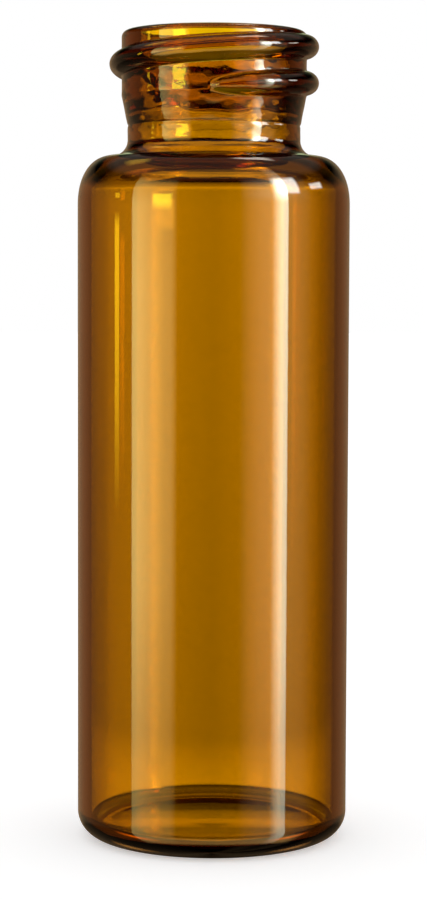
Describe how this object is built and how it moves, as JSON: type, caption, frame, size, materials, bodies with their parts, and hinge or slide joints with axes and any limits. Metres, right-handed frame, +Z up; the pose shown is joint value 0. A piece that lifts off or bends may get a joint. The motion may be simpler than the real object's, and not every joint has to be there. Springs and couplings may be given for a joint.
{
  "type": "glass sample vial",
  "caption": "Slim amber glass sample vial with a round shoulder, a flared screw neck with a rolled thread, and an open mouth.",
  "frame": {"origin": "middle of the base, on the plane that the foot ring stands on", "axes": "+Z up along the tube's axis to the mouth; -Y is the side where the lower end of the thread starts; +X to the right of it"},
  "size_m": [0.0228, 0.0228, 0.0676],
  "materials": {
    "amber_glass": "clear fire-polished amber glass"
  },
  "bodies": {
    "root": {"glass_vial": "amber_glass"}
  },
  "joints": []
}
